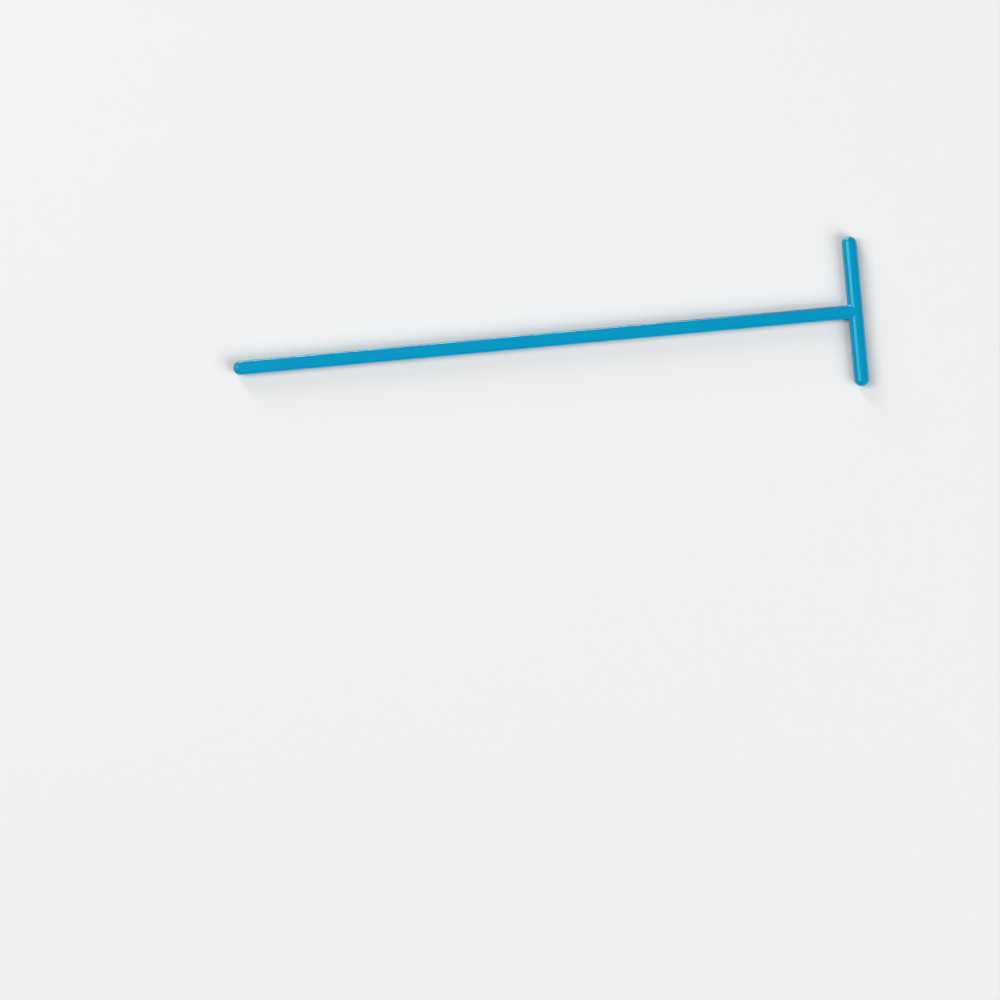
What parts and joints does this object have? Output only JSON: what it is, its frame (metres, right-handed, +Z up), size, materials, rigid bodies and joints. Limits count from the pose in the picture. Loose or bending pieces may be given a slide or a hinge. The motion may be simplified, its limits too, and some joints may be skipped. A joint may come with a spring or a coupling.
{
  "type": "cell spreader",
  "caption": "T-shaped cell spreader for agar plates: a slim straight handle with a round spreading bar across its end, moulded in plastic.",
  "frame": {"origin": "on the surface the spreader lies on, under the middle of its overall length and width", "axes": "+X along the handle towards the spreading bar, +Y along the spreading bar, +Z up from the surface it lies on"},
  "size_m": [0.15, 0.0356, 0.0036],
  "materials": {
    "blue_plastic": "glossy moulded plastic, opaque cyan blue"
  },
  "bodies": {
    "root": {"cell_spreader": "blue_plastic"}
  },
  "joints": []
}
